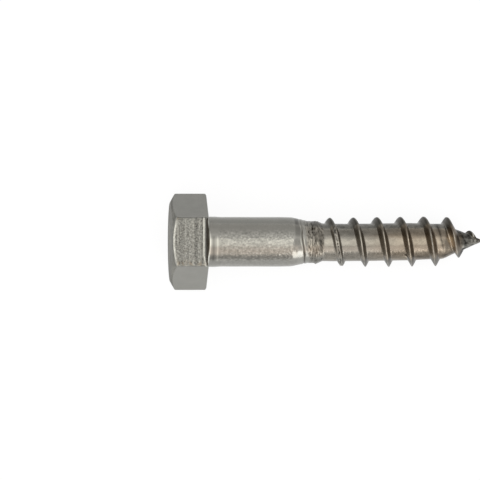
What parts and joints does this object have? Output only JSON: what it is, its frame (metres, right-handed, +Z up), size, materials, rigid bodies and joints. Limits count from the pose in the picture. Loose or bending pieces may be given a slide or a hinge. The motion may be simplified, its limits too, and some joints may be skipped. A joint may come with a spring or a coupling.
{
  "type": "lag screw",
  "caption": "Hexagon-head lag screw with a plain shank, a coarse right-hand wood thread and a gimlet point, lying at rest on one flat of its head and on its thread.",
  "frame": {"origin": "on the surface that the screw lies on, midway along and across its box", "axes": "+Z up from that surface; +X from the head toward the tip, level, with the screw's own axis dipping about 4 degrees below it; +Y across"},
  "size_m": [0.0624, 0.0192, 0.017],
  "materials": {
    "stainless_steel": "cold-forged stainless steel: satin flats, lightly pitted shank, brown stain in the thread"
  },
  "bodies": {
    "root": {"lag_screw": "stainless_steel"}
  },
  "joints": []
}
